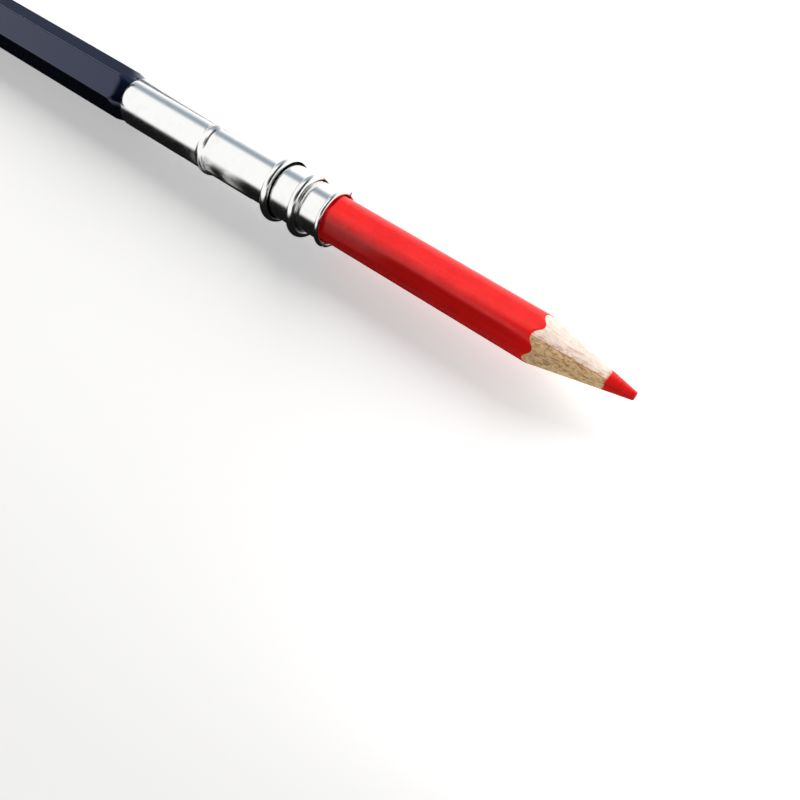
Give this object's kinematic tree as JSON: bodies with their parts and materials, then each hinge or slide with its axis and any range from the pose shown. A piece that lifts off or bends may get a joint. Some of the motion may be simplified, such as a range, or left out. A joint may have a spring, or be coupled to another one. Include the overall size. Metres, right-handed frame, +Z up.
{
  "type": "pencil extender",
  "caption": "Hexagonal lacquered wooden handle with a plated slit ferrule whose jaws clamp a pencil stub when a rolled-rim slide ring is pushed forward.",
  "frame": {"origin": "on the surface that the extender lies on, under the middle of its length with the pencil in place", "axes": "+X along the axis toward the pencil's tip, +Z up, with one flat of the hexagonal barrel facing down"},
  "size_m": [0.1634, 0.0108, 0.0107],
  "materials": {
    "barrel_wood": "bare turned wood",
    "black_lacquer": "gloss lacquer",
    "plated_ferrule": "bright nickel plate",
    "plated_ring": "bright nickel plate",
    "red_lead": "waxy pigment",
    "pencil_wood": "sharpened bare wood",
    "red_lacquer": "gloss lacquer"
  },
  "bodies": {
    "handle": {"barrel_core": "barrel_wood", "barrel_lacquer": "black_lacquer", "clamp_ferrule": "plated_ferrule"},
    "slide_ring": {"slide_ring": "plated_ring"},
    "pencil": {"pencil_lead": "red_lead", "pencil_slat_left": "pencil_wood", "pencil_slat_right": "pencil_wood", "pencil_lacquer": "red_lacquer"}
  },
  "joints": [
    {"name": "ring_slide", "type": "slide", "parent": "handle", "child": "slide_ring", "axis": [1, 0, 0], "range_m": [-0.0123, 0.0035]},
    {"name": "pencil_slide", "type": "slide", "parent": "handle", "child": "pencil", "axis": [1, 0, 0], "range_m": [-0.0055, 0.025]}
  ]
}
